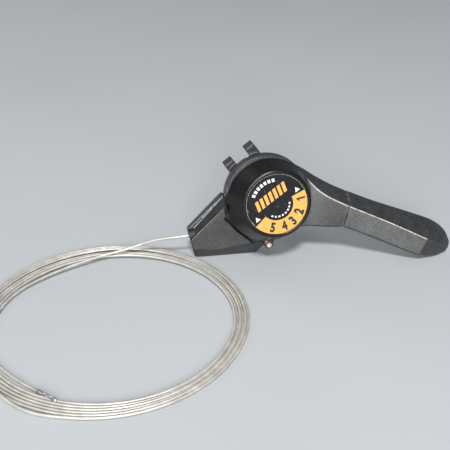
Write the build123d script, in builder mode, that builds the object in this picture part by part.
from build123d import *
import os
from math import acos, asin, atan2, cos, degrees, pi, radians, sin, sqrt, tan

# Thumb shifter for a 22.2 mm handlebar, lying on its side with its loose inner wire.
#
# The shifter's own frame: the pivot axis is Z, z = 0 is the face of the dial, +X runs along the
# handlebar, towards its end, and +Y points forward. Every piece of the shifter is drawn there
# and laid down by `lying` when it is written. The free wire is drawn where it lies.
# Millimetres throughout.

# ---- driving dimensions: the shifter ------------------------------------------------------
bar_radius = 11.1
ring_radius = 18.8
dial_radius = 13.4
dial_centre_x = 1.4
wire_radius = 0.6
groove_clearance = 0.15
running_fit = 0.05
hub_play = 1.2
through = 60.0

# heights, from the dial's face down to the handlebar
bezel_top = 0.3
dial_thickness = 0.6
cap_base = -8.9
hub_top = -9.2
hub_bottom = -13.4
cup_rim = -13.8
cup_step = -19.5
cable_level = -18.0
drum_bottom = -20.45
cup_floor = -21.1
cup_underside = -22.7
bar_axis_level = cup_underside - 1.1 - bar_radius

# pivot, stack and detent
stud_radius = 4.0
stud_neck_radius = 3.5
bush_radius = 5.5
plate_bottom = -8.6
plate_top = -7.4
plate_radius = 15.5
wave_top = -6.7
washer_top = -5.9
screw_head_top = -3.2
ball_radius = 1.5
ball_seat_bottom = -12.8
cap_screw_radius = 2.0
nipple_radius = 2.25
nipple_length = 4.4
ball_circle = 12.0
ball_angle = 119.0
click_step = 27.75
click_count = 5

# cable drum and cable stop
cable_radius = 8.5
drum_flange_radius = 10.5
stop_reach = 37.8
exit_level_y = 6.66
stop_sleeve_radius = 2.4
housing_radius = 2.05
housing_depth = 6.0
sleeve_length = 8.0
wire_way_radius = 1.0

# lever: s runs along the lever from the pivot, n across it
lever_angle = -61.2
seam_s = 33.0
tang_end_s = 70.0
tang_centre = (9.2, -6.4)
tang_size = (8.0, 4.0)
pointer_angle = -126.0
pointer_reach = 21.2
pointer_pin_radius = 1.15
pointer_pin_depth = 2.4
pointer_pin_stand = 0.7

# handlebar clamp
saddle_x = (-6.45, 9.85)
saddle_centre_x = sum(saddle_x) / 2
wedge_lift = 0.6
prong_width = 4.7
prong_tip_y = 20.4
prong_top = -23.0
prong_bottom = -30.5
hook_y = 14.2
hook_level = -25.4
hook_pin_radius = 1.5
band_thickness = 1.0
band_width = 6.0
ear_width = 12.3
ear_level = -37.6
ear_end_y = -27.2
ear_slip = 1.2
clamp_screw_y = -19.6
clamp_screw_radius = 2.5
screw_hole_play = 0.3
nut_half_width = 4.0
nut_height = 4.0
nut_bottom = -27.6
lug_bottom = -32.0
lug_y = -16.0
lug_length = 16.0

# ---- driving dimensions: how it lies and its free wire --------------------------------------
dial_azimuth = 9.7
dial_elevation = 10.8
bar_rise = 35.4
pivot_place = (-21.65, -21.53, 31.54)
coil_centre = (-88.9, -59.4)
coil_outer_radius = 56.8
coil_hole_centre = (-87.0, -62.5)
coil_hole_radius = 47.6
coil_height = 2.8
end_cap_radius = 0.9
end_cap_length = 10.0
end_cap_bearing = 250.0

os.makedirs("parts", exist_ok=True)

tilt = (
    Location((0, 0, 0), (0, 0, dial_azimuth))
    * Location((0, 0, 0), (90 - dial_elevation, 0, 0))
    * Location((0, 0, 0), (0, 0, bar_rise))
)
lying = Location(pivot_place) * tilt
finished = []


def polar(radius, angle, height):
    """A point of the shifter's frame, given about the pivot axis."""
    return Vector(radius * cos(radians(angle)), radius * sin(radians(angle)), height)


def rising(a, b, c):
    """The plane through three points, with its normal on the side of the dial."""
    a, b, c = Vector(*a), Vector(*b), Vector(*c)
    normal = (b - a).cross(c - a)
    return Plane(origin=a, x_dir=b - a, z_dir=normal if normal.Z > 0 else -normal)


def keep(piece, label):
    """Name a piece of the shifter and lay it down where it lies."""
    piece.part.label = label
    laid = lying * piece.part
    laid.label = label
    finished.append(laid)


# ---- the line of the inner wire inside the shifter ------------------------------------------
# It leaves the drum on a tangent at the rear and runs straight out through the cable stop.
exit_distance = sqrt(stop_reach**2 + cable_radius**2)
leave_angle = degrees(asin(exit_level_y / exit_distance)) + degrees(asin(cable_radius / exit_distance))
cable_dir = Vector(-cos(radians(leave_angle)), sin(radians(leave_angle)), 0)
tangent_angle = -90 - leave_angle
tangent_point = polar(cable_radius, tangent_angle, cable_level)
stop_mouth = tangent_point + cable_dir * stop_reach
mouth_plane = Plane(origin=stop_mouth, x_dir=(0, 0, 1), z_dir=cable_dir)

# ---- bracket: cup, wedge-shaped cable stop, saddle, prongs and nut lug -----------------------
end_across = Vector(-cable_dir.Y, cable_dir.X, 0)
end_front = stop_mouth - end_across * 3.0
end_rear = stop_mouth + end_across * 13.0
floor_plane = Plane(lying.inverse())
wedge_bottom = -24.6

# the wedge's big facet, its crest and the slope in front of the crest
crest_end = (-36.0, 5.7, -14.4)
crest_hub = (-21.85, 9.3, -8.7)
facet_corner = (-18.27, -12.5, -12.7)
slope_foot = (-28.8, 9.6, -15.4)
# the rim in front of the slope
rim_hub = (-14.5, 14.6, -10.5)
rim_end = (-35.4, 9.8, -17.8)
rim_inner = (-14.9, 11.6, -10.3)
# the two chamfers behind the facet
foot_hub = (-20.0, -20.6, -19.7)
foot_end = (-41.1, -5.5, -20.1)
chamfer_end = (-39.75, -0.2, -17.1)
chamfer_middle = (-31.2, -7.0, -15.8)
# the underside, which rises towards the front
under_hub = (-14.5, 14.6, -15.5)
under_end = (-35.4, 9.8, -21.2)
under_rear = (-25.0, -6.0, -24.6)


def wedge_block():
    """The wedge's upright outline, cut by its underside and by its two rear chamfers."""
    with BuildPart() as block:
        with BuildSketch(Plane.XY.offset(wedge_bottom)):
            with BuildLine():
                Polyline(
                    (0, 0),
                    (-13.6, 10.2),
                    (rim_hub[0], rim_hub[1]),
                    (rim_end[0], rim_end[1]),
                    (end_front.X, end_front.Y),
                    (end_rear.X, end_rear.Y),
                    (-36.0, -12.0),
                    (-20.2, -21.0),
                    (-15.5, -18.6),
                    (-6.0, -16.0),
                    close=True,
                )
            make_face()
        extrude(amount=hub_top + 3.0 - wedge_bottom)
        split(bisect_by=rising(facet_corner, foot_hub, foot_end), keep=Keep.BOTTOM)
        split(bisect_by=rising(chamfer_end, chamfer_middle, foot_end), keep=Keep.BOTTOM)
        split(bisect_by=rising(under_hub, under_end, under_rear), keep=Keep.TOP)
        split(bisect_by=floor_plane, keep=Keep.TOP)
    return block


with wedge_block() as wedge_crest:
    split(bisect_by=rising(crest_end, facet_corner, crest_hub), keep=Keep.BOTTOM)
    split(bisect_by=rising(crest_end, crest_hub, slope_foot), keep=Keep.BOTTOM)

with wedge_block() as wedge_rim:
    split(bisect_by=rising(crest_end, facet_corner, crest_hub), keep=Keep.BOTTOM)
    split(bisect_by=rising(rim_hub, rim_end, rim_inner), keep=Keep.BOTTOM)

with BuildPart() as bracket:
    add(wedge_crest.part)
    add(wedge_rim.part)
    # clear ground for the lever's hub, which turns above the cup
    with Locations((0, 0, cup_rim)):
        Cylinder(
            ring_radius + hub_play, 12, align=(Align.CENTER, Align.CENTER, Align.MIN), mode=Mode.SUBTRACT
        )
    with BuildSketch(Plane.XY.offset(cup_rim)):
        with BuildLine():
            Polyline((-20.6, 5.8), (-16.3, -23.1), (20.0, -23.1), (0, 5.8), close=True)
        make_face()
    extrude(amount=12, mode=Mode.SUBTRACT)
    # cup
    with Locations((0, 0, cup_step)):
        Cylinder(ring_radius, cup_rim - cup_step, align=(Align.CENTER, Align.CENTER, Align.MIN))
    with Locations((0, 0, cup_underside)):
        Cylinder(ring_radius - 1, cup_step - cup_underside, align=(Align.CENTER, Align.CENTER, Align.MIN))
    # saddle on the handlebar, two prongs in front and the nut lug behind
    with BuildSketch(Plane.XY.offset(bar_axis_level + 0.4)):
        with Locations((saddle_centre_x, 0)):
            Rectangle(saddle_x[1] - saddle_x[0], 2 * (bar_radius + 2.0))
    extrude(amount=cup_underside - bar_axis_level)
    with BuildSketch(Plane.XY.offset(prong_bottom)):
        for x in (saddle_x[0] + prong_width / 2, saddle_x[1] - prong_width / 2):
            with Locations((x, (prong_tip_y + 8) / 2)):
                Rectangle(prong_width, prong_tip_y - 8)
    extrude(amount=prong_top - prong_bottom)
    with BuildSketch(Plane.XY.offset(lug_bottom)):
        with Locations((saddle_centre_x, lug_y)):
            Rectangle(saddle_x[1] - saddle_x[0], lug_length)
    extrude(amount=cup_underside - lug_bottom)
    # cavity for the drum
    with Locations((0, 0, cup_floor)):
        Cylinder(ring_radius - 1.9, 12, align=(Align.CENTER, Align.CENTER, Align.MIN), mode=Mode.SUBTRACT)
    # gap between the prongs, for the band
    with BuildSketch(Plane.XY.offset(cup_underside)):
        with Locations((saddle_centre_x, 24.0)):
            Rectangle(saddle_x[1] - saddle_x[0] - 2 * prong_width, 27.4)
    extrude(amount=-14, mode=Mode.SUBTRACT)
    # handlebar, hook pin, clamp screw and its captive nut
    with Locations(Location((saddle_centre_x, 0, bar_axis_level), (0, 90, 0))):
        Cylinder(bar_radius, saddle_x[1] - saddle_x[0], mode=Mode.SUBTRACT)
    with Locations(Location((saddle_x[0], 0, bar_axis_level), (0, -90, 0))):
        Cylinder(
            bar_radius + wedge_lift,
            through,
            align=(Align.CENTER, Align.CENTER, Align.MIN),
            mode=Mode.SUBTRACT,
        )
    with Locations(Location((saddle_centre_x, hook_y, hook_level), (0, 90, 0))):
        Cylinder(hook_pin_radius + running_fit, through, mode=Mode.SUBTRACT)
    with Locations((saddle_centre_x, clamp_screw_y, -30)):
        Cylinder(clamp_screw_radius + screw_hole_play, 30, mode=Mode.SUBTRACT)
    with BuildSketch(Plane.XY.offset(nut_bottom)):
        with Locations((saddle_centre_x, clamp_screw_y)):
            RegularPolygon(nut_half_width + running_fit, 6, major_radius=False)
    extrude(amount=nut_height + 0.6, mode=Mode.SUBTRACT)
    # pivot stud
    Cylinder(stud_radius, through, mode=Mode.SUBTRACT)
    # way of the inner wire and the seat of the cable stop sleeve
    with BuildSketch(mouth_plane):
        Circle(wire_way_radius)
    extrude(amount=-stop_reach, mode=Mode.SUBTRACT)
    with BuildSketch(mouth_plane):
        Circle(stop_sleeve_radius)
    extrude(amount=-sleeve_length, mode=Mode.SUBTRACT)
keep(bracket, "bracket")

with BuildPart() as cable_stop_sleeve:
    with BuildSketch(mouth_plane):
        Circle(stop_sleeve_radius)
    extrude(amount=-sleeve_length)
    with BuildSketch(mouth_plane):
        Circle(housing_radius)
    extrude(amount=-housing_depth, mode=Mode.SUBTRACT)
    with BuildSketch(mouth_plane):
        Circle(wire_way_radius)
    extrude(amount=-sleeve_length, mode=Mode.SUBTRACT)
keep(cable_stop_sleeve, "cable_stop_sleeve")

# ---- pivot stack ------------------------------------------------------------------------------
with BuildPart() as pivot_stud:
    with Locations((0, 0, cup_underside)):
        Cylinder(stud_radius, plate_bottom - cup_underside, align=(Align.CENTER, Align.CENTER, Align.MIN))
    with Locations((0, 0, plate_bottom)):
        Cylinder(stud_neck_radius, plate_top - plate_bottom, align=(Align.CENTER, Align.CENTER, Align.MIN))
    with Locations((0, 0, plate_top)):
        Cylinder(cap_screw_radius, 18, mode=Mode.SUBTRACT)
keep(pivot_stud, "pivot_stud")

with BuildPart() as drum_washer:
    with Locations((0, 0, cup_floor)):
        Cylinder(9.0, 0.5, align=(Align.CENTER, Align.CENTER, Align.MIN))
    Cylinder(stud_radius, through, mode=Mode.SUBTRACT)
keep(drum_washer, "drum_washer")

with BuildPart() as index_plate:
    with BuildSketch(Plane.XY.offset(plate_bottom)):
        Circle(plate_radius)
        Circle(stud_neck_radius, mode=Mode.SUBTRACT)
        for click in range(click_count):
            hole = polar(ball_circle, ball_angle + click * click_step, 0)
            with Locations((hole.X, hole.Y)):
                Circle(1.2, mode=Mode.SUBTRACT)
    extrude(amount=plate_top - plate_bottom)
keep(index_plate, "index_plate")

with BuildPart() as wave_washer:
    with BuildSketch(Plane.XY.offset(plate_top)):
        Circle(6.8)
        Circle(stud_neck_radius, mode=Mode.SUBTRACT)
    extrude(amount=wave_top - plate_top)
keep(wave_washer, "wave_washer")

with BuildPart() as top_washer:
    with BuildSketch(Plane.XY.offset(wave_top)):
        Circle(6.2)
        Circle(cap_screw_radius, mode=Mode.SUBTRACT)
    extrude(amount=washer_top - wave_top)
keep(top_washer, "top_washer")

with BuildPart() as pivot_screw:
    with Locations((0, 0, washer_top)):
        Cylinder(4.2, screw_head_top - washer_top, align=(Align.CENTER, Align.CENTER, Align.MIN))
    fillet(pivot_screw.edges().group_by(Axis.Z)[-1], 1.0)
    with Locations((0, 0, washer_top)):
        Cylinder(cap_screw_radius, 10, align=(Align.CENTER, Align.CENTER, Align.MAX))
    with Locations((0, 0, screw_head_top)):
        Box(5.0, 0.9, 2.4, mode=Mode.SUBTRACT)
        Box(0.9, 5.0, 2.4, mode=Mode.SUBTRACT)
keep(pivot_screw, "pivot_screw")

# ---- dial cap and dial ------------------------------------------------------------------------
with BuildPart() as dial_cap:
    with BuildSketch(Plane.XY.offset(cap_base)):
        Circle(ring_radius)
    with BuildSketch(Plane.XY.offset(cap_base + 0.8)):
        Circle(ring_radius)
    with BuildSketch(Plane.XY.offset(-0.5)):
        with Locations((dial_centre_x, 0)):
            Circle(dial_radius + 1.9)
    loft(ruled=True)
    with Locations((dial_centre_x, 0, -0.5)):
        Cylinder(dial_radius + 1.9, bezel_top + 0.5, align=(Align.CENTER, Align.CENTER, Align.MIN))
    fillet(dial_cap.edges().group_by(Axis.Z)[-1], 0.7)
    with Locations((dial_centre_x, 0, -dial_thickness)):
        Cylinder(dial_radius, 4, align=(Align.CENTER, Align.CENTER, Align.MIN), mode=Mode.SUBTRACT)
    with Locations((0, 0, plate_top)):
        Cylinder(plate_radius, 8, align=(Align.CENTER, Align.CENTER, Align.MAX), mode=Mode.SUBTRACT)
        Cylinder(12.8, 5.0, align=(Align.CENTER, Align.CENTER, Align.MIN), mode=Mode.SUBTRACT)
keep(dial_cap, "dial_cap")

with BuildPart() as dial_plate:
    with Locations((dial_centre_x, 0, -dial_thickness)):
        Cylinder(dial_radius, dial_thickness, align=(Align.CENTER, Align.CENTER, Align.MIN))
keep(dial_plate, "dial_plate")

# ---- lever: hub, neck and tang, grip cover, pointer, drum and bush ----------------------------
lever_dir = polar(1, lever_angle, 0)
across_dir = polar(1, lever_angle + 90, 0)


def lever_section(s):
    """The plane across the lever at s, with n to the right and Z up."""
    return Plane(origin=lever_dir * s, x_dir=across_dir, z_dir=across_dir.cross(Vector(0, 0, 1)))


neck_sections = {
    6.0: [(-14.0, -9.2), (15.0, -9.2), (18.0, -10.4), (18.0, -13.4), (-14.0, -13.4)],
    14.0: [(-9.2, -9.2), (12.6, -9.2), (17.6, -10.6), (17.4, -13.4), (-9.0, -13.4)],
    22.0: [(-4.2, -8.6), (11.4, -6.8), (17.0, -11.0), (16.4, -13.6), (-3.4, -13.6)],
    seam_s: [(1.6, -4.6), (11.3, -3.0), (16.2, -10.8), (14.2, -13.8), (2.6, -13.0)],
}
cover_sections = {
    seam_s: [(1.2, -4.2), (11.3, -2.6), (16.5, -10.8), (14.4, -14.1), (2.2, -13.3)],
    72.0: [(1.6, 0.8), (11.4, 1.6), (19.2, -7.2), (17.3, -10.2), (2.6, -8.6)],
    80.0: [(3.9, -1.5), (10.9, -1.2), (18.4, -6.2), (16.4, -8.8), (4.7, -7.2)],
    85.1: [(7.2, -3.5), (10.4, -3.3), (14.4, -5.3), (13.3, -7.3), (7.8, -6.5)],
}

with BuildPart() as lever_arm:
    with Locations((0, 0, hub_bottom)):
        Cylinder(ring_radius - 0.2, hub_top - hub_bottom, align=(Align.CENTER, Align.CENTER, Align.MIN))
    for s, outline in neck_sections.items():
        with BuildSketch(lever_section(s)):
            with BuildLine():
                Polyline(*outline, close=True)
            make_face()
    loft(ruled=True)
    with BuildSketch(lever_section(seam_s - 4)):
        with Locations(tang_centre):
            Rectangle(*tang_size)
    extrude(amount=tang_end_s - seam_s + 4)
    # pointer housing at the hub's edge, with the seat of its pin
    with Locations(Location((0, 0, (hub_top + hub_bottom) / 2), (0, 0, pointer_angle))):
        with Locations((19.8, 0, 0)):
            Box(6.6, 4.3, hub_top - hub_bottom)
    with Locations(polar(pointer_reach, pointer_angle, hub_top)):
        Cylinder(pointer_pin_radius, 2 * pointer_pin_depth, mode=Mode.SUBTRACT)
    # the cap's skirt turns no lower than this
    with Locations((0, 0, hub_top)):
        Cylinder(ring_radius + 0.4, 14, align=(Align.CENTER, Align.CENTER, Align.MIN), mode=Mode.SUBTRACT)
    Cylinder(bush_radius, through, mode=Mode.SUBTRACT)
    ball_seat = polar(ball_circle, ball_angle, 0)
    with Locations((ball_seat.X, ball_seat.Y, ball_seat_bottom)):
        Cylinder(
            ball_radius + running_fit, 6, align=(Align.CENTER, Align.CENTER, Align.MIN), mode=Mode.SUBTRACT
        )
keep(lever_arm, "lever_arm")

with BuildPart() as lever_cover:
    for s, outline in cover_sections.items():
        with BuildSketch(lever_section(s)):
            with BuildLine():
                Polyline(*outline, close=True)
            make_face()
    loft(ruled=True)
    with BuildSketch(lever_section(seam_s - 4)):
        with Locations(tang_centre):
            Rectangle(*tang_size)
    extrude(amount=tang_end_s - seam_s + 4, mode=Mode.SUBTRACT)
keep(lever_cover, "lever_cover")

with BuildPart() as pointer_pin:
    with Locations(polar(pointer_reach, pointer_angle, hub_top - pointer_pin_depth)):
        Cylinder(
            pointer_pin_radius,
            pointer_pin_depth + pointer_pin_stand,
            align=(Align.CENTER, Align.CENTER, Align.MIN),
        )
    fillet(pointer_pin.edges().group_by(Axis.Z)[-1], 0.5)
keep(pointer_pin, "pointer_pin")

with BuildPart() as cable_drum:
    with BuildSketch(Plane.XZ):
        with BuildLine():
            Polyline(
                (bush_radius, drum_bottom),
                (drum_flange_radius, drum_bottom),
                (drum_flange_radius, cable_level - 1.1),
                (cable_radius - wire_radius - groove_clearance, cable_level - 0.65),
                (cable_radius - wire_radius - groove_clearance, cable_level + 0.65),
                (drum_flange_radius, cable_level + 1.1),
                (drum_flange_radius, hub_bottom),
                (bush_radius, hub_bottom),
                close=True,
            )
        make_face()
    revolve(axis=Axis.Z)
    nipple_place = polar(cable_radius, tangent_angle + 42, cable_level)
    with Locations(nipple_place):
        Cylinder(nipple_radius, nipple_length + 0.2, mode=Mode.SUBTRACT)
keep(cable_drum, "cable_drum")

with BuildPart() as cable_nipple:
    with Locations(nipple_place):
        Cylinder(nipple_radius, nipple_length)
keep(cable_nipple, "cable_nipple")

with BuildPart() as pivot_bush:
    with BuildSketch(Plane.XY.offset(drum_bottom)):
        Circle(bush_radius)
        Circle(stud_radius + running_fit, mode=Mode.SUBTRACT)
    extrude(amount=hub_top - drum_bottom)
keep(pivot_bush, "pivot_bush")

with BuildPart() as wire_on_drum:
    with BuildLine() as wrap:
        CenterArc((0, 0, cable_level), cable_radius, tangent_angle + 1, 25)
    with BuildSketch(Plane(origin=wrap.line @ 0, z_dir=wrap.line % 0)):
        Circle(wire_radius)
    sweep()
keep(wire_on_drum, "wire_on_drum")

with BuildPart() as wire_lead:
    with BuildSketch(mouth_plane.offset(-0.2)):
        Circle(wire_radius)
    extrude(amount=-(stop_reach - 0.8))
keep(wire_lead, "wire_lead")

# ---- detent -----------------------------------------------------------------------------------
with BuildPart() as click_ball:
    with Locations((ball_seat.X, ball_seat.Y, plate_bottom - running_fit - ball_radius)):
        Sphere(ball_radius)
keep(click_ball, "click_ball")

spring_top = plate_bottom - running_fit - 2 * ball_radius - 0.1
spring_place = (ball_seat.X, ball_seat.Y, ball_seat_bottom + 0.15)
with BuildPart() as click_spring:
    with BuildLine() as spring_line:
        Helix(pitch=0.42, height=spring_top - ball_seat_bottom - 0.3, radius=0.95, center=spring_place)
    with BuildSketch(Plane(origin=spring_line.line @ 0, z_dir=spring_line.line % 0)):
        Circle(0.14)
    sweep()
keep(click_spring, "click_spring")

# ---- handlebar clamp ---------------------------------------------------------------------------
band_radius = bar_radius + band_thickness / 2
curl_radius = hook_pin_radius + running_fit + band_thickness / 2
hook_distance = sqrt(hook_y**2 + (hook_level - bar_axis_level) ** 2)
hook_bearing = degrees(atan2(hook_level - bar_axis_level, hook_y))
leave_bearing = hook_bearing - degrees(acos((band_radius - curl_radius) / hook_distance))
wrap_end = -158.0
side_plane = Plane(origin=(saddle_centre_x, 0, 0), x_dir=(0, 1, 0), z_dir=(1, 0, 0))


def ring_point(centre_y, centre_z, radius, bearing):
    """A point on a circle in the side view, as y and z."""
    return (centre_y + radius * cos(radians(bearing)), centre_z + radius * sin(radians(bearing)))


with BuildPart() as clamp_band:
    with BuildSketch(side_plane):
        with BuildLine():
            CenterArc((hook_y, hook_level), curl_radius, leave_bearing, 300)
            Line(
                ring_point(hook_y, hook_level, curl_radius, leave_bearing),
                ring_point(0, bar_axis_level, band_radius, leave_bearing),
            )
            CenterArc((0, bar_axis_level), band_radius, leave_bearing, wrap_end - leave_bearing)
        trace(line_width=band_thickness)
    extrude(amount=band_width / 2, both=True)
    wrap_y, wrap_z = ring_point(0, bar_axis_level, band_radius, wrap_end)
    with BuildSketch(side_plane):
        with BuildLine():
            Polyline((wrap_y, wrap_z), (wrap_y - 1.6, ear_level), (ear_end_y, ear_level))
        trace(line_width=band_thickness)
    extrude(amount=ear_width / 2, both=True)
    # the screw's slot lets the band swing on its hook pin
    with BuildSketch(Plane.XY.offset(ear_level - 2)):
        with Locations((saddle_centre_x, clamp_screw_y - ear_slip / 2)):
            SlotCenterToCenter(ear_slip, 2 * clamp_screw_radius + 0.6, rotation=90)
    extrude(amount=4, mode=Mode.SUBTRACT)
keep(clamp_band, "clamp_band")

with BuildPart() as hook_pin:
    with Locations(Location((saddle_centre_x, hook_y, hook_level), (0, 90, 0))):
        Cylinder(hook_pin_radius, saddle_x[1] - saddle_x[0])
keep(hook_pin, "hook_pin")

ear_underside = ear_level - band_thickness / 2 - running_fit
with BuildPart() as clamp_washer:
    with BuildSketch(Plane.XY.offset(ear_underside)):
        with Locations((saddle_centre_x, clamp_screw_y)):
            Circle(5.2)
            Circle(clamp_screw_radius, mode=Mode.SUBTRACT)
    extrude(amount=-1.0)
keep(clamp_washer, "clamp_washer")

with BuildPart() as clamp_screw:
    with BuildSketch(Plane.XY.offset(ear_underside - 1.0)):
        with Locations((saddle_centre_x, clamp_screw_y)):
            RegularPolygon(nut_half_width, 6, major_radius=False)
    extrude(amount=-3.6)
    with BuildSketch(Plane.XY.offset(ear_underside - 1.0)):
        with Locations((saddle_centre_x, clamp_screw_y)):
            Circle(clamp_screw_radius)
    extrude(amount=15.0)
    with Locations((saddle_centre_x, clamp_screw_y, ear_underside - 4.6)):
        Box(7.2, 1.2, 2.4, mode=Mode.SUBTRACT)
keep(clamp_screw, "clamp_screw")

with BuildPart() as clamp_nut:
    with BuildSketch(Plane.XY.offset(nut_bottom)):
        with Locations((saddle_centre_x, clamp_screw_y)):
            RegularPolygon(nut_half_width, 6, major_radius=False)
            Circle(clamp_screw_radius + running_fit, mode=Mode.SUBTRACT)
    extrude(amount=nut_height)
keep(clamp_nut, "clamp_nut")

# ---- free inner wire, drawn where it lies ------------------------------------------------------
# It leaves the cable stop, dips over the coil's far side and joins the coil from inside.
exit_at = (lying * Location(stop_mouth)).position
route = [
    (exit_at.X, exit_at.Y, exit_at.Z),
    (-66.5, -14.4, 11.0),
    (-76.5, -15.2, 9.0),
    (-86.5, -16.4, 5.9),
    (-97.5, -21.2, 2.6),
    (-108.5, -31.0, 0.8),
    (-118.5, -43.2, 0.65),
    (-126.9, -56.0, 0.65),
    (-132.1, -69.0, 0.65),
]


def bend_radii(points):
    """The largest arcs that the runs allow: 0.45 of the shorter run over the tangent of half the turn."""
    radii = []
    for before, corner, after in zip(points, points[1:], points[2:]):
        run_in = Vector(*corner) - Vector(*before)
        run_out = Vector(*after) - Vector(*corner)
        turn = radians(run_in.get_angle(run_out))
        radii.append(0.45 * min(run_in.length, run_out.length) / tan(turn / 2))
    return radii


radii = bend_radii(route)
with BuildPart() as free_wire:
    with BuildLine() as wire_path:
        FilletPolyline(*route, radius=radii)
    with BuildSketch(Plane(origin=wire_path.line @ 0, z_dir=wire_path.line % 0)):
        Circle(wire_radius)
    sweep(transition=Transition.ROUND)
free_wire.part.label = "free_wire"
wire_run = sum(edge.length for edge in wire_path.edges())
print("wire bends", [round(radius) for radius in radii], "length", round(wire_run, 1))
print("wire volume", round(free_wire.part.volume, 2), "of", round(pi * wire_radius**2 * wire_run, 2))

# the loose coil: wider on its far side, where its turns fan out
with BuildPart() as wire_coil:
    with BuildSketch():
        with Locations(coil_centre):
            Circle(coil_outer_radius)
        with Locations(coil_hole_centre):
            Circle(coil_hole_radius, mode=Mode.SUBTRACT)
    extrude(amount=coil_height)
    chamfer(wire_coil.edges().group_by(Axis.Z)[-1].sort_by(SortBy.LENGTH)[-1], coil_height / 2)
wire_coil.part.label = "wire_coil"

# crimped cap on the wire's far end, lying against the inside of the coil
cap_dir = Vector(-sin(radians(end_cap_bearing)), cos(radians(end_cap_bearing)), 0)
cap_at = (
    Vector(coil_hole_centre[0], coil_hole_centre[1], end_cap_radius)
    + Vector(cos(radians(end_cap_bearing)), sin(radians(end_cap_bearing)), 0) * (coil_hole_radius - 1.4)
)
with BuildPart() as wire_end_cap:
    with BuildSketch(Plane(origin=cap_at - cap_dir * (end_cap_length / 2), z_dir=cap_dir)):
        Circle(end_cap_radius)
    extrude(amount=end_cap_length)
    chamfer(wire_end_cap.faces().sort_by(Axis(cap_at, cap_dir))[-1].edges(), 0.3)
wire_end_cap.part.label = "wire_end_cap"
finished += [free_wire.part, wire_coil.part, wire_end_cap.part]

for piece in finished:
    export_step(piece, f"parts/{piece.label}.step")
